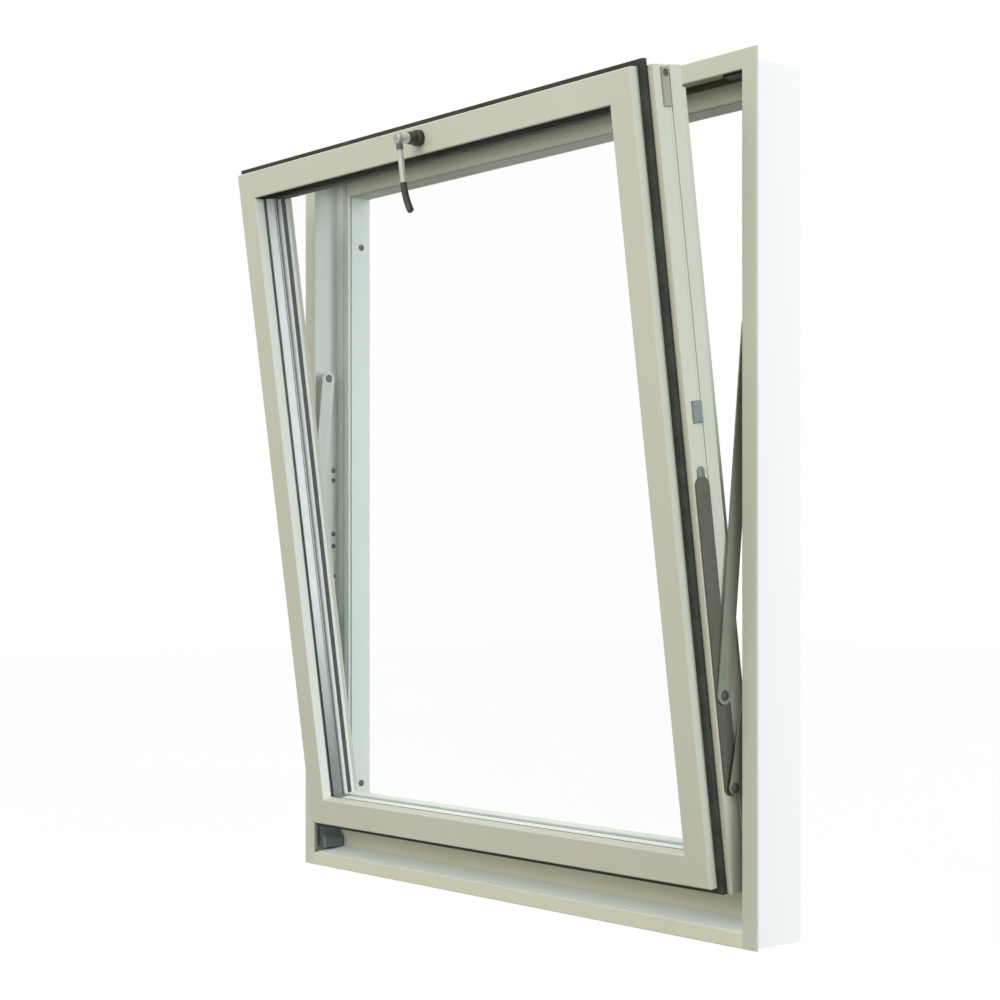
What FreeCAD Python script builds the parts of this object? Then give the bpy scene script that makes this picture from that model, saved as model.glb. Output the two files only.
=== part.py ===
import FreeCAD, Part
import math
import os

# A bottom hung hopper window: a flanged frame for a wall opening, a glazed sash
# whose top leans into the room, a four bar stay on each side and a lever handle.
# Millimetres. X runs right as seen from the room, Y runs outdoors, Z is up.
# The origin is the middle of the sill flange's face that bears on the wall.

# Frame members, measured from the frame's outer edge (u) and from the wall face (depth)
frame_width = 1062.0
frame_height = 1200.0
frame_depth = 97.0
flange_width = 27.0
flange_thickness = 3.0
rebate_offset = 16.0
wall_thickness = 3.0
rebate_depth = 52.0
stop_reach = 51.0
stop_groove_width = 3.0
stop_groove_depth = 2.0
stop_groove_setback = 4.0
edge_chamfer = 1.0

# Sill: lower flange, floor that rises towards a taller upstand
sill_flange_width = 20.0
sill_floor_rise = 7.0
sill_upstand = 80.0

# Seal on the stop
seal_width = 9.0
seal_proud = 4.0
seal_edge = 4.0

# Sash members, measured inwards from the face's outline (u) and back from the face (depth)
sash_jamb_inset = 59.0
sash_head_inset = 34.5
sash_sill_lap = 3.0
sash_depth = 100.0
face_width = 43.0
face_edge = 1.5
lip_thickness = 15.5
lip_slope = 2.0
front_flange = 14.0
band_width = 10.0
band_seat = 3.0
band_proud = 9.0
body_depth = 75.0
body_proud = 18.0
body_proud_top = 0.0
body_proud_bottom = 9.0
hardware_groove_width = 7.0
hardware_groove_depth = 4.0
hardware_groove_front = 47.0
leg_thickness = 4.0
leg_drop_top = 25.5
leg_lift_bottom = 7.5
bead_seat = 28.0
pocket_floor = 30.0

# Glazing
pane_thickness = 4.0
pane_gap = 18.0
pane_edge_clearance = 2.0
glazing_seal = 2.5
glazing_seal_width = 6.0
spacer_width = 12.0
bead_depth = 18.5

# Open pose, as stored, and the closed place of the face
open_tilt = 7.77
open_face_y = -30.6
closed_face_y = -28.0

# Stays
bar_thickness = 2.5
bar_width = 25.0
bar_depth = 39.5
bar_bottom = 122.0
bar_top = 551.0
long_pivot_height = 258.0
short_pivot_height = 133.0
long_anchor_y = 20.0
long_anchor_z = 834.0
short_anchor_z = 425.0
arm_thickness = 2.5
arm_gap = 0.5
long_arm_width = 24.0
short_arm_width = 18.0
pin_radius = 4.0
pin_clearance = 0.05
open_pivot_clearance = 1.0
boss_radius = 6.0
boss_gap = 0.3
washer_radius = 7.0
track_thickness = 3.0
track_width = 36.0
track_setback = 30.0
track_foot_margin = 16.0
track_head_drop = 6.0
track_slot_length = 42.0
track_slot_width = 6.0
track_slot_drop = 26.0

# Locking pieces
lock_depth = 44.0
lock_block_width = 18.0
lock_block_height = 30.0
lock_block_centre = 636.0
lock_plate_length = 52.0
lock_plate_width = 14.0
lock_plate_drop = 3.0
keeper_length = 46.0
keeper_width = 18.0
keeper_height = 9.0
keeper_from_jamb = 26.0
keeper_setback = 24.0

# Handle
handle_offset = 21.0
handle_drop = 18.5
rose_width = 26.0
rose_height = 23.0
rose_thickness = 10.0
rose_corner = 11.0
hub_radius = 8.0
hub_length = 33.0
hub_gap = 0.3
lever_width = 8.0
lever_thickness = 7.0
lever_straight = 68.0
lever_bend_radius = 80.0
lever_bend = 26.0
lever_edge = 2.0

# Sizes that follow from the frame
open_face_z = sill_upstand - sash_sill_lap
sash_width = frame_width - 2.0 * sash_jamb_inset
sash_height = frame_height - open_face_z - sash_head_inset
bearing_width = rebate_offset - wall_thickness
origin_height = bearing_width / 2.0
far = 3.0 * (frame_width + frame_height)


def vec(x, y, z):
    """Short name for a point or direction."""
    return FreeCAD.Vector(x, y, z)


def outline(points):
    """Face inside a closed run of straight edges through the points."""
    return Part.Face(Part.makePolygon(points + points[:1]))


def member(side, profile, width, height):
    """Straight extrusion of a (u, depth) profile along one side of a width by height ring."""
    reach = width / 2.0 + height
    places = {
        "bottom": lambda u, d: vec(-reach, d, u),
        "top": lambda u, d: vec(-reach, d, height - u),
        "left": lambda u, d: vec(u - width / 2.0, d, -reach),
        "right": lambda u, d: vec(width / 2.0 - u, d, -reach),
    }
    along = vec(2.0 * reach, 0, 0)
    if side in ("left", "right"):
        along = vec(0, 0, 2.0 * reach + height)
    return outline([places[side](u, d) for u, d in profile]).extrude(along)


def mitre(side, width, height, square_foot=False):
    """Wedge that keeps one side of the ring between its two 45 degree corner cuts."""
    half = width / 2.0
    t = min(width, height) / 2.0 - 1.0
    m = body_proud + t
    low = -m
    high = height + m
    wedges = {
        "bottom": [(-half - m, low), (half + m, low), (half - t, t), (-half + t, t)],
        "top": [(-half - m, high), (half + m, high), (half - t, height - t), (-half + t, height - t)],
        "left": [(-half - m, low), (-half + t, t), (-half + t, height - t), (-half - m, high)],
        "right": [(half + m, low), (half - t, t), (half - t, height - t), (half + m, high)],
    }
    points = wedges[side]
    if square_foot:
        outer, inner = points[0][0], points[1][0]
        points = [(outer, 0.0), (inner, 0.0)] + points[2:]
    face = outline([vec(x, -far, z) for x, z in points])
    return face.extrude(vec(0, 2.0 * far, 0))


def ring_sides(profiles, width, height):
    """Four mitred members, one for each side named in profiles."""
    return {
        side: member(side, profile, width, height).common(mitre(side, width, height))
        for side, profile in profiles.items()
    }


def box(x0, x1, y0, y1, z0, z1):
    """Box between two corners."""
    return Part.makeBox(x1 - x0, y1 - y0, z1 - z0, vec(x0, y0, z0))


def rod(radius, x0, x1, y, z):
    """Round bar along X."""
    return Part.makeCylinder(radius, abs(x1 - x0), vec(min(x0, x1), y, z), vec(1, 0, 0))


def mirrored(shape):
    """The same piece on the other side of the window."""
    return shape.mirror(vec(0, 0, 0), vec(1, 0, 0))


def rounded_bar(start, end, width, x0, x1):
    """Flat bar in the YZ plane with a half round at each end, from x0 to x1."""
    along = (end - start).normalize()
    across = vec(0, -along.z, along.y) * (width / 2.0)
    cap = along * (width / 2.0)
    edges = [
        Part.LineSegment(start + across, end + across).toShape(),
        Part.Arc(end + across, end + cap, end - across).toShape(),
        Part.LineSegment(end - across, start - across).toShape(),
        Part.Arc(start - across, start - cap, start + across).toShape(),
    ]
    face = Part.Face(Part.Wire(edges))
    face.translate(vec(x0, 0, 0))
    return face.extrude(vec(x1 - x0, 0, 0))


# Sash pose: the closed sash stands upright, the stored one leans into the room
def sash_point(height, depth, tilt, face_y, face_z):
    """World place of a sash point from its height up the face and depth behind it."""
    a = math.radians(tilt)
    y = face_y - height * math.sin(a) + depth * math.cos(a)
    z = face_z + height * math.cos(a) + depth * math.sin(a)
    return vec(0, y, z)


def opened(shape):
    """Piece modelled on an upright sash, moved to the stored open pose."""
    pose = FreeCAD.Placement(vec(0, open_face_y, open_face_z), FreeCAD.Rotation(vec(1, 0, 0), open_tilt))
    moved = shape.copy()
    moved.Placement = pose.multiply(moved.Placement)
    return moved


# Four bar linkage: the anchors hold both the open and the closed place of the sash
long_open = sash_point(long_pivot_height, bar_depth, open_tilt, open_face_y, open_face_z)
short_open = sash_point(short_pivot_height, bar_depth, open_tilt, open_face_y, open_face_z)
long_anchor = vec(0, long_anchor_y, long_anchor_z)
long_length = (long_open - long_anchor).Length
long_closed_y = closed_face_y + bar_depth
closed_drop = math.sqrt(long_length ** 2 - (long_anchor_y - long_closed_y) ** 2)
closed_face_z = long_anchor_z - closed_drop - long_pivot_height
long_closed = vec(0, long_closed_y, closed_face_z + long_pivot_height)
short_closed = vec(0, long_closed_y, closed_face_z + short_pivot_height)
short_middle = (short_open + short_closed) * 0.5
short_travel = short_open - short_closed
short_lean = -short_travel.z / short_travel.y
short_anchor = vec(0, short_middle.y + (short_anchor_z - short_middle.z) * short_lean, short_anchor_z)


def turn_to_close(anchor, open_place, closed_place):
    """Degrees about +X that carry a hanging arm from its open to its closed place."""
    start = open_place - anchor
    stop = closed_place - anchor
    return math.degrees(math.atan2(stop.z, stop.y) - math.atan2(start.z, start.y))


long_turn = turn_to_close(long_anchor, long_open, long_closed)
short_turn = turn_to_close(short_anchor, short_open, short_closed)
sash_turn = -open_tilt - long_turn


# Frame
def frame_profile():
    """Head and jamb section: flange, rebate wall and stop."""
    groove_front = rebate_depth + stop_groove_setback
    return [
        (0.0, 0.0),
        (0.0, edge_chamfer - flange_thickness),
        (edge_chamfer, -flange_thickness),
        (flange_width - edge_chamfer, -flange_thickness),
        (flange_width, edge_chamfer - flange_thickness),
        (flange_width, 0.0),
        (rebate_offset, 0.0),
        (rebate_offset, rebate_depth),
        (stop_reach - edge_chamfer, rebate_depth),
        (stop_reach, rebate_depth + edge_chamfer),
        (stop_reach, groove_front),
        (stop_reach - stop_groove_depth, groove_front),
        (stop_reach - stop_groove_depth, groove_front + stop_groove_width),
        (stop_reach, groove_front + stop_groove_width),
        (stop_reach, frame_depth),
        (rebate_offset - wall_thickness, frame_depth),
        (rebate_offset - wall_thickness, 0.0),
    ]


def sill_profile():
    """Sill section: low flange, rising floor and the upstand behind the sash."""
    return [
        (0.0, 0.0),
        (0.0, edge_chamfer - flange_thickness),
        (edge_chamfer, -flange_thickness),
        (sill_flange_width - edge_chamfer, -flange_thickness),
        (sill_flange_width, edge_chamfer - flange_thickness),
        (sill_flange_width, 0.0),
        (sill_flange_width + sill_floor_rise, rebate_depth),
        (sill_upstand - edge_chamfer, rebate_depth),
        (sill_upstand, rebate_depth + edge_chamfer),
        (sill_upstand, frame_depth),
        (rebate_offset - wall_thickness, frame_depth),
        (rebate_offset - wall_thickness, 0.0),
    ]


def seal_profile(stop_edge):
    """Seal on the stop's front: a strip with a crowned face."""
    outer = stop_edge - seal_edge - seal_width
    inner = stop_edge - seal_edge
    return [
        (outer, rebate_depth),
        (outer, rebate_depth - seal_proud / 2.0),
        (outer + seal_width / 4.0, rebate_depth - seal_proud),
        (inner - seal_width / 4.0, rebate_depth - seal_proud),
        (inner, rebate_depth - seal_proud / 2.0),
        (inner, rebate_depth),
    ]


def build_frame():
    """Mitred head and jambs, and a sill coped between the jambs."""
    profile = frame_profile()
    head = member("top", profile, frame_width, frame_height)
    head = head.common(mitre("top", frame_width, frame_height))
    jambs = {}
    for side in ("left", "right"):
        jamb = member(side, profile, frame_width, frame_height)
        jambs[side] = jamb.common(mitre(side, frame_width, frame_height, square_foot=True))
    wall = frame_width / 2.0 - rebate_offset
    sill = member("bottom", sill_profile(), frame_width, frame_height)
    sill = sill.common(box(-wall, wall, -far, far, -far, far))
    sill = sill.cut(jambs["left"]).cut(jambs["right"])
    return {
        "frame_head": head,
        "frame_sill": sill,
        "frame_left_jamb": jambs["left"],
        "frame_right_jamb": jambs["right"],
    }


def build_stop_seals():
    """Seal strips on the stop, the head's in its upper corner, jamb strips ending on the sill strip."""
    corner = rebate_offset + seal_width + seal_edge
    sides = {"top": corner, "left": stop_reach, "right": stop_reach, "bottom": sill_upstand}
    strips = {}
    for side, stop_edge in sides.items():
        strips[side] = member(side, seal_profile(stop_edge), frame_width, frame_height)
    low = sill_upstand - seal_edge
    high = frame_height - rebate_offset - seal_width
    wall = frame_width / 2.0 - rebate_offset
    half = frame_width / 2.0 - stop_reach + seal_edge + seal_width
    upright = box(-far, far, -far, far, low, high)
    return {
        "stop_seal_head": strips["top"].common(box(-wall, wall, -far, far, -far, far)),
        "stop_seal_left": strips["left"].common(upright),
        "stop_seal_right": strips["right"].common(upright),
        "stop_seal_sill": strips["bottom"].common(box(-half, half, -far, far, -far, far)),
    }


def build_tracks():
    """Stay tracks on the jamb walls, each with two pivot bosses and an adjusting slot."""
    wall = frame_width / 2.0 - rebate_offset
    face = wall - track_thickness
    foot = vec(0, track_setback, short_anchor.z - track_foot_margin)
    head = vec(0, track_setback, long_anchor.z - track_head_drop)
    track = rounded_bar(foot, head, track_width, face, wall)
    slot_top = vec(0, track_setback, long_anchor.z - track_slot_drop)
    slot_foot = slot_top - vec(0, 0, track_slot_length)
    track = track.cut(rounded_bar(slot_foot, slot_top, track_slot_width, face, wall))
    long_face = long_arm_x()[1]
    short_face = short_arm_x()[1]
    for anchor, arm_face in ((long_anchor, long_face), (short_anchor, short_face)):
        boss = rod(boss_radius, arm_face + boss_gap, face, anchor.y, anchor.z)
        pin = rod(pin_radius, arm_face - arm_thickness, face, anchor.y, anchor.z)
        track = track.fuse(boss).fuse(pin)
    track = track.removeSplitter()
    return {"right_stay_track": track, "left_stay_track": mirrored(track)}


def build_keepers():
    """Lock keepers under the head, one near each jamb."""
    ceiling = frame_height - rebate_offset
    outer = frame_width / 2.0 - rebate_offset - keeper_from_jamb
    keeper = Part.makeBox(
        keeper_length,
        keeper_width,
        keeper_height,
        vec(outer - keeper_length, keeper_setback, ceiling - keeper_height),
    )
    lower = [e for e in keeper.Edges if e.CenterOfMass.z < ceiling - keeper_height + 0.1]
    keeper = keeper.makeChamfer(keeper_height / 4.0, lower)
    return {"right_head_keeper": keeper, "left_head_keeper": mirrored(keeper)}


# Sash, modelled upright with its face at depth 0 and its outline's bottom edge at height 0
def sash_profile(proud):
    """Rail and stile section: front flange, seal seat and a body with a hardware groove."""
    groove_back = hardware_groove_front + hardware_groove_width
    pocket_back = glazing_back()
    return [
        (0.0, face_edge),
        (face_edge, 0.0),
        (face_width - face_edge, 0.0),
        (face_width, face_edge),
        (face_width + lip_slope, lip_thickness),
        (pocket_floor, lip_thickness),
        (pocket_floor, pocket_back),
        (bead_seat, pocket_back),
        (bead_seat, body_depth),
        (-proud, body_depth),
        (-proud, groove_back),
        (hardware_groove_depth - proud, groove_back),
        (hardware_groove_depth - proud, hardware_groove_front),
        (-proud, hardware_groove_front),
        (-proud, front_flange + band_width),
        (band_seat, front_flange + band_width),
        (band_seat, front_flange),
        (0.0, front_flange),
    ]


def leg_profile(inset):
    """Thin outdoor leg behind the body."""
    inner = inset + leg_thickness
    return [
        (inset, body_depth),
        (inner, body_depth),
        (inner, sash_depth - edge_chamfer),
        (inner - edge_chamfer, sash_depth),
        (inset + edge_chamfer, sash_depth),
        (inset, sash_depth - edge_chamfer),
    ]


def glazing_back():
    """Depth of the glazing's outdoor face, where the beads start."""
    return lip_thickness + 2.0 * glazing_seal + 2.0 * pane_thickness + pane_gap


def build_sash_members():
    """Four mitred sash members, trimmed to the outline of the sash's body."""
    profiles = {
        "left": sash_profile(body_proud),
        "right": sash_profile(body_proud),
        "top": sash_profile(body_proud_top),
        "bottom": sash_profile(body_proud_bottom),
    }
    outer = sash_side()
    envelope = box(-outer, outer, 0.0, body_depth, -body_proud_bottom, sash_height + body_proud_top)
    sides = ring_sides(profiles, sash_width, sash_height)
    names = {
        "left": "sash_left_stile",
        "right": "sash_right_stile",
        "top": "sash_top_rail",
        "bottom": "sash_bottom_rail",
    }
    return {names[side]: shape.common(envelope) for side, shape in sides.items()}


def build_sash_legs():
    """Outdoor legs: upright ones, with level ones between them, clear of the head's stop and the upstand."""
    between = sash_width / 2.0 - leg_thickness
    upright = box(-far, far, -far, far, leg_lift_bottom, sash_height - leg_drop_top)
    level = box(-between, between, -far, far, 0.0, sash_height)
    rows = {
        "left": (0.0, upright),
        "right": (0.0, upright),
        "top": (leg_drop_top, level),
        "bottom": (leg_lift_bottom, level),
    }
    legs = {}
    for side, (inset, span) in rows.items():
        leg = member(side, leg_profile(inset), sash_width, sash_height)
        legs["sash_leg_" + side] = leg.common(span)
    return legs


def band_profile():
    """Dark seal band in its seat behind the front flange."""
    back = front_flange + band_width
    return [
        (band_seat, front_flange),
        (band_seat, back),
        (edge_chamfer - band_proud, back),
        (-band_proud, back - edge_chamfer),
        (-band_proud, front_flange + edge_chamfer),
        (edge_chamfer - band_proud, front_flange),
    ]


def build_sash_band():
    """Seal band all round the sash, one mitred strip a side."""
    profiles = {side: band_profile() for side in ("left", "right", "top", "bottom")}
    sides = ring_sides(profiles, sash_width, sash_height)
    return {"sash_seal_" + side: shape for side, shape in sides.items()}


def glazing_sheet(edge, depth, thickness):
    """Rectangular sheet whose edge lies a given distance inside the face's outline."""
    half = sash_width / 2.0 - edge
    return box(-half, half, depth, depth + thickness, edge, sash_height - edge)


def glazing_ring(outer_edge, inner_edge, depth, thickness):
    """Rectangular ring between two edges inside the face's outline."""
    hole = glazing_sheet(inner_edge, depth - 1.0, thickness + 2.0)
    return glazing_sheet(outer_edge, depth, thickness).cut(hole)


def build_glazing():
    """Sealed double unit: two panes, a spacer and a glazing seal on each face."""
    pane_edge = pocket_floor + pane_edge_clearance
    sight = face_width + lip_slope
    first = lip_thickness + glazing_seal
    gap_front = first + pane_thickness
    second = gap_front + pane_gap
    last = second + pane_thickness
    return {
        "inner_glazing_seal": glazing_ring(sight - glazing_seal_width, sight, lip_thickness, glazing_seal),
        "inner_pane": glazing_sheet(pane_edge, first, pane_thickness),
        "glazing_spacer": glazing_ring(pane_edge, pane_edge + spacer_width, gap_front, pane_gap),
        "outer_pane": glazing_sheet(pane_edge, second, pane_thickness),
        "outer_glazing_seal": glazing_ring(sight - glazing_seal_width, sight, last, glazing_seal),
    }


def build_beads():
    """Glazing beads on the outdoor side, mitred at the corners."""
    front = glazing_back()
    back = front + bead_depth
    sight = face_width + lip_slope
    bead = [
        (bead_seat, front),
        (sight, front),
        (sight, back - edge_chamfer),
        (sight - edge_chamfer, back),
        (bead_seat, back),
    ]
    profiles = {side: bead for side in ("left", "right", "top", "bottom")}
    sides = ring_sides(profiles, sash_width, sash_height)
    return {"glazing_bead_" + side: shape for side, shape in sides.items()}


# Stays: the bar lies on the stile's side, the long arm over it, the short arm outermost
def sash_side():
    """Half width of the sash at its body."""
    return sash_width / 2.0 + body_proud


def long_arm_x():
    """Inner and outer face of the long arm."""
    inner = sash_side() + bar_thickness + arm_gap
    return inner, inner + arm_thickness


def short_arm_x():
    """Inner and outer face of the short arm."""
    inner = long_arm_x()[1] + arm_gap
    return inner, inner + arm_thickness


def build_sash_bars():
    """Sash bars with the two pivot pins that the arms turn on."""
    side = sash_side()
    face = side + bar_thickness
    inset = bar_width / 2.0
    foot = vec(0, bar_depth, bar_bottom + inset)
    head = vec(0, bar_depth, bar_top - inset)
    bar = rounded_bar(foot, head, bar_width, side, face)
    long_pin = rod(pin_radius, face, long_arm_x()[1], bar_depth, long_pivot_height)
    short_pin = rod(pin_radius, face, short_arm_x()[1], bar_depth, short_pivot_height)
    washer = rod(washer_radius, face, short_arm_x()[0] - boss_gap, bar_depth, short_pivot_height)
    bar = bar.fuse(long_pin).fuse(washer).fuse(short_pin).removeSplitter()
    return {"right_sash_bar": bar, "left_sash_bar": mirrored(bar)}


def build_arms():
    """Long and short arms in the open pose, bored for their pivots."""
    arms = {}
    running = pin_radius + pin_clearance
    loose = pin_radius + open_pivot_clearance
    rows = (
        ("long_arm", long_anchor, long_open, long_arm_width, long_arm_x(), running),
        ("short_arm", short_anchor, short_open, short_arm_width, short_arm_x(), loose),
    )
    for name, anchor, foot, width, (inner, outer), foot_bore in rows:
        arm = rounded_bar(foot, anchor, width, inner, outer)
        arm = arm.cut(rod(running, inner, outer, anchor.y, anchor.z))
        arm = arm.cut(rod(foot_bore, inner, outer, foot.y, foot.z))
        arms["right_" + name] = arm
        arms["left_" + name] = mirrored(arm)
    return arms


def build_locks():
    """Lock blocks and corner plates on the stiles' sides."""
    side = sash_side()
    plate_top = sash_height - lock_plate_drop
    rows = {
        "lock_block": (lock_block_width, lock_block_centre + lock_block_height / 2.0, lock_block_height),
        "corner_plate": (lock_plate_width, plate_top, lock_plate_length),
    }
    pieces = {}
    for name, (width, top, length) in rows.items():
        front = lock_depth - width / 2.0
        piece = box(side, side + bar_thickness, front, front + width, top - length, top)
        outer_edges = [e for e in piece.Edges if e.CenterOfMass.x > side + edge_chamfer]
        piece = piece.makeChamfer(edge_chamfer, outer_edges)
        pieces["right_" + name] = piece
        pieces["left_" + name] = mirrored(piece)
    return pieces


# Handle
def build_rose():
    """Rounded base of the handle on the top rail's face."""
    height = sash_height - handle_drop
    rose = box(
        handle_offset - rose_width / 2.0,
        handle_offset + rose_width / 2.0,
        -rose_thickness,
        0.0,
        height - rose_height / 2.0,
        height + rose_height / 2.0,
    )
    corners = [e for e in rose.Edges if abs(e.tangentAt(e.FirstParameter).y) > 0.9]
    rose = rose.makeFillet(rose_corner, corners)
    front = [e for e in rose.Edges if abs(e.CenterOfMass.y + rose_thickness) < 0.01]
    return {"handle_rose": rose.makeChamfer(lever_edge, front)}


def build_lever():
    """Hub and lever: a straight shank that bends sideways to its tip."""
    height = sash_height - handle_drop
    back = -rose_thickness - hub_gap
    front = back - hub_length
    hub = Part.makeCylinder(hub_radius, hub_length, vec(handle_offset, front, height), vec(0, 1, 0))
    rim = [e for e in hub.Edges if abs(e.CenterOfMass.y - front) < 0.01]
    hub = hub.makeFillet(lever_edge, rim)
    half = lever_width / 2.0
    y = front + lever_edge

    def place(x, z):
        return vec(handle_offset + x, y, height + z)

    def on_bend(radius, turn):
        a = math.radians(turn)
        return place(lever_bend_radius - radius * math.cos(a), -lever_straight - radius * math.sin(a))

    wide = lever_bend_radius + half
    tight = lever_bend_radius - half
    tip = on_bend(lever_bend_radius, lever_bend + math.degrees(half / lever_bend_radius))
    edges = [
        Part.LineSegment(place(half, 0), place(-half, 0)).toShape(),
        Part.LineSegment(place(-half, 0), place(-half, -lever_straight)).toShape(),
        Part.Arc(on_bend(wide, 0), on_bend(wide, lever_bend / 2.0), on_bend(wide, lever_bend)).toShape(),
        Part.Arc(on_bend(wide, lever_bend), tip, on_bend(tight, lever_bend)).toShape(),
        Part.Arc(on_bend(tight, lever_bend), on_bend(tight, lever_bend / 2.0), on_bend(tight, 0)).toShape(),
        Part.LineSegment(place(half, -lever_straight), place(half, 0)).toShape(),
    ]
    shank = Part.Face(Part.Wire(edges)).extrude(vec(0, lever_thickness, 0))
    flat_edges = [e for e in shank.Edges if abs(e.tangentAt(e.FirstParameter).y) < 0.1]
    rims = [e for e in flat_edges if e.CenterOfMass.z < height - half]
    shank = shank.makeFillet(lever_edge, rims)
    return {"handle_lever": hub.fuse(shank).removeSplitter()}


def build():
    """Every piece in the stored pose, by node name."""
    fixed = [build_frame(), build_stop_seals(), build_tracks(), build_keepers(), build_arms()]
    leaning = [
        build_sash_members(),
        build_sash_legs(),
        build_sash_band(),
        build_glazing(),
        build_beads(),
        build_sash_bars(),
        build_locks(),
        build_rose(),
        build_lever(),
    ]
    pieces = {}
    for group in fixed:
        pieces.update(group)
    for group in leaning:
        pieces.update({name: opened(shape) for name, shape in group.items()})
    for shape in pieces.values():
        shape.translate(vec(0, 0, -origin_height))
    return pieces


os.makedirs("parts", exist_ok=True)
for node, shape in build().items():
    shape.Solids[0].exportStep("parts/" + node + ".step")
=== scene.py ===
"""Looks of a bottom hung hopper window: finishes, small hardware and a plain studio."""

import functools
import logging
import math
from dataclasses import dataclass
from enum import Enum
from typing import Sequence

import bmesh
import bpy
from mathutils import Matrix, Vector


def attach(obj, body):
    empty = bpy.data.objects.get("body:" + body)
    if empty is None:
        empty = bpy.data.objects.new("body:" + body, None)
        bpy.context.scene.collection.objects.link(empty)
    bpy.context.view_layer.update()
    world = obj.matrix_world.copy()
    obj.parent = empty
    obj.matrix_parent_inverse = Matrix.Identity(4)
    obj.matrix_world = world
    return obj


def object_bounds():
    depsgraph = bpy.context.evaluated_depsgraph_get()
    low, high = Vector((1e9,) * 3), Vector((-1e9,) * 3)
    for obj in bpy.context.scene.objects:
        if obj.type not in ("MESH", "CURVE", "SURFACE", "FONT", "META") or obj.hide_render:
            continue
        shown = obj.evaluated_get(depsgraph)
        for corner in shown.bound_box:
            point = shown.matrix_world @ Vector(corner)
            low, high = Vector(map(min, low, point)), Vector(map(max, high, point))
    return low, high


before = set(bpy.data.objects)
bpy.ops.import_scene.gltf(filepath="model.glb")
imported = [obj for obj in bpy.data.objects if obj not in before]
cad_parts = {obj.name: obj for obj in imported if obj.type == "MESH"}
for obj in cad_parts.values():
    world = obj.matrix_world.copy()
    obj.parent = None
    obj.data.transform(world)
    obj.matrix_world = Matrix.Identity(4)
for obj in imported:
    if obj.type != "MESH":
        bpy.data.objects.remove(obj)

LOG = logging.getLogger("hopper_window")
CAD_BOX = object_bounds()

Socket = bpy.types.NodeSocket
Tree = bpy.types.NodeTree
Pair = tuple[float, float]
Triple = tuple[float, float, float]
Colour = Triple

SIDES = ((-1.0, "left"), (1.0, "right"))
RIGHT: Triple = (1.0, 0.0, 0.0)
BACK: Triple = (0.0, 1.0, 0.0)
UP: Triple = (0.0, 0.0, 1.0)
DOWN: Triple = (0.0, 0.0, -1.0)


class Body(Enum):
    """Bodies of the window that new pieces ride on."""

    FRAME = "frame"
    SASH = "sash"
    HANDLE = "handle"


class Slot(Enum):
    """Material slots of the window."""

    FRAME_COAT = "frame_coat"
    SASH_COAT = "sash_coat"
    SEAL = "seal_rubber"
    STAY = "stay_steel"
    LOCK = "lock_metal"
    PLASTIC = "dark_plastic"


class Head(Enum):
    """Turned heads of screws and rivets, as shares of radius and height from the foot up."""

    ROUND = ((1.0, 0.0), (1.0, 0.35), (0.9, 0.7), (0.68, 0.93), (0.35, 1.0))
    PAN = ((1.0, 0.0), (1.0, 0.4), (0.88, 0.8), (0.62, 1.0), (0.42, 1.0), (0.34, 0.55), (0.1, 0.5))

    def profile(self, radius: float, height: float) -> list[Pair]:
        """Radius and height pairs of a head of this size."""
        return [(wide * radius, up * height) for wide, up in self.value]


def srgb(red: int, green: int, blue: int) -> Colour:
    """Linear colour from display values of 0 to 255."""
    def linear(value: int) -> float:
        """One component in linear light."""
        c = value / 255.0
        return c / 12.92 if c <= 0.04045 else ((c + 0.055) / 1.055) ** 2.4

    return linear(red), linear(green), linear(blue)


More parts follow.
